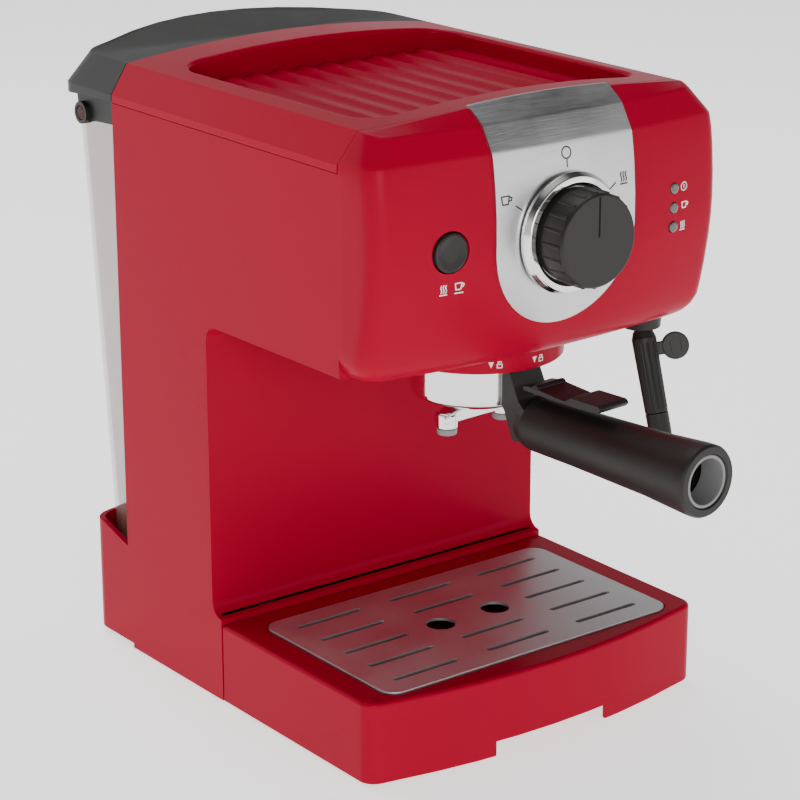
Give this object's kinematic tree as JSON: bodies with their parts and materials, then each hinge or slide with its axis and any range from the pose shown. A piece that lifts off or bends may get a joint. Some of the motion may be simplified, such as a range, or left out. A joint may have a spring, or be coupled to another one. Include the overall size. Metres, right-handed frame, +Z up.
{
  "type": "espresso machine",
  "caption": "Compact pump espresso machine: overhanging head with a dial, locking filter holder, ball-jointed steam wand, pull-out drip tray and lift-off rear water tank.",
  "frame": {"origin": "on the worktop, under the middle of the bounding box", "axes": "+X to the right seen from the front, +Y to the back, +Z up"},
  "size_m": [0.21, 0.3918, 0.3235],
  "materials": {
    "red_gloss": "glossy moulded plastic",
    "black_plastic": "satin moulded plastic",
    "grey_silicone": "soft grey plastic",
    "chrome": "polished plating",
    "brushed_steel": "brushed or drawn stainless steel",
    "cast_alloy": "die-cast, lightly satin",
    "smoky_clear": "clear plastic with a smoky tint",
    "lamp_lens": "small dark lenses",
    "black_rubber": "black rubber",
    "silicone_hose": "milky hose",
    "circuit_board": "electrical parts"
  },
  "bodies": {
    "machine": {"main_housing": "red_gloss", "front_panel": "red_gloss", "top_cover": "red_gloss", "rear_panel": "red_gloss", "group_collar": "red_gloss", "base_plate": "black_plastic", "cord_gland": "black_plastic", "tank_shelf": "black_plastic", "water_pump": "black_plastic", "knob_bezel": "chrome", "control_plate": "brushed_steel", "shower_screen": "brushed_steel", "shower_screw": "brushed_steel", "base_screw_front_left": "brushed_steel", "base_screw_front_right": "brushed_steel", "base_screw_rear_left": "brushed_steel", "base_screw_rear_right": "brushed_steel", "steam_pipe": "brushed_steel", "thermal_fuse": "brushed_steel", "brew_head": "cast_alloy", "boiler": "cast_alloy", "boiler_cap": "cast_alloy", "indicator_lens_1": "lamp_lens", "indicator_lens_2": "lamp_lens", "indicator_lens_3": "lamp_lens", "foot_front_left": "black_rubber", "foot_front_right": "black_rubber", "foot_rear_left": "black_rubber", "foot_rear_right": "black_rubber", "group_gasket": "black_rubber", "pump_mount_lower": "black_rubber", "pump_mount_upper": "black_rubber", "suction_hose": "silicone_hose", "pressure_hose": "silicone_hose", "selector_switch": "circuit_board", "brew_switch": "circuit_board", "lamp_board": "circuit_board", "brew_thermostat": "circuit_board", "steam_thermostat": "circuit_board", "control_board": "circuit_board"},
    "selector": {"selector_knob": "black_plastic"},
    "brew_key": {"brew_button": "black_plastic"},
    "portafilter": {"filter_holder": "chrome", "filter_basket": "brushed_steel", "spout_tip_left": "grey_silicone", "spout_tip_right": "grey_silicone", "portafilter_handle": "black_plastic", "handle_end_liner": "grey_silicone"},
    "filter_clip_body": {"filter_clip": "black_plastic"},
    "wand_swivel": {"steam_socket": "black_plastic"},
    "wand": {"wand_ball": "chrome", "steam_wand": "black_plastic"},
    "frother": {"frother_nozzle": "black_plastic"},
    "tray": {"drip_tray": "red_gloss"},
    "grille": {"drip_grille": "brushed_steel"},
    "tank": {"water_tank": "smoky_clear", "tank_valve_spring": "brushed_steel"},
    "valve": {"tank_valve": "black_rubber"},
    "lid": {"tank_lid": "black_plastic"}
  },
  "joints": [
    {"name": "selector_turn", "type": "hinge", "parent": "machine", "child": "selector", "pos_m": [0, -0.10811, 0.261], "axis": [0, 1, 0], "range_deg": [-50, 50]},
    {"name": "brew_press", "type": "slide", "parent": "machine", "child": "brew_key", "axis": [0, 1, 0], "range_m": [0, 0.003], "stiffness_N_per_m": 600, "springref_m": -0.001},
    {"name": "portafilter_lock", "type": "hinge", "parent": "machine", "child": "portafilter", "pos_m": [0, -0.03961, 0.19], "axis": [0, 0, 1], "range_deg": [-35, 0]},
    {"name": "clip_lift", "type": "hinge", "parent": "portafilter", "child": "filter_clip_body", "pos_m": [0.00363, -0.09149, 0.181], "axis": [-0.9976, -0.0698, 0], "range_deg": [0, 9]},
    {"name": "wand_swing", "type": "hinge", "parent": "machine", "child": "wand_swivel", "pos_m": [0.082, -0.06911, 0.1955], "axis": [0, 0, 1], "range_deg": [-20, 60]},
    {"name": "wand_tilt", "type": "hinge", "parent": "wand_swivel", "child": "wand", "pos_m": [0.082, -0.06911, 0.1955], "axis": [0, -1, 0], "range_deg": [0, 25]},
    {"name": "frother_slide", "type": "slide", "parent": "wand", "child": "frother", "axis": [0, -0.2924, -0.9563], "range_m": [0, 0.028]},
    {"name": "tray_pull", "type": "slide", "parent": "machine", "child": "tray", "axis": [0, -1, 0], "range_m": [0, 0.16]},
    {"name": "grille_lift", "type": "slide", "parent": "tray", "child": "grille", "axis": [0, 0, 1], "range_m": [0, 0.04]},
    {"name": "tank_lift", "type": "slide", "parent": "machine", "child": "tank", "axis": [0, 0, 1], "range_m": [0, 0.25]},
    {"name": "valve_push", "type": "slide", "parent": "tank", "child": "valve", "axis": [0, 0, 1], "range_m": [0, 0.003], "stiffness_N_per_m": 300, "springref_m": -0.001, "deforming": ["tank_valve_spring"]},
    {"name": "lid_hinge", "type": "hinge", "parent": "tank", "child": "lid", "pos_m": [0, 0.15489, 0.286], "axis": [-1, 0, 0], "range_deg": [0, 35]}
  ]
}
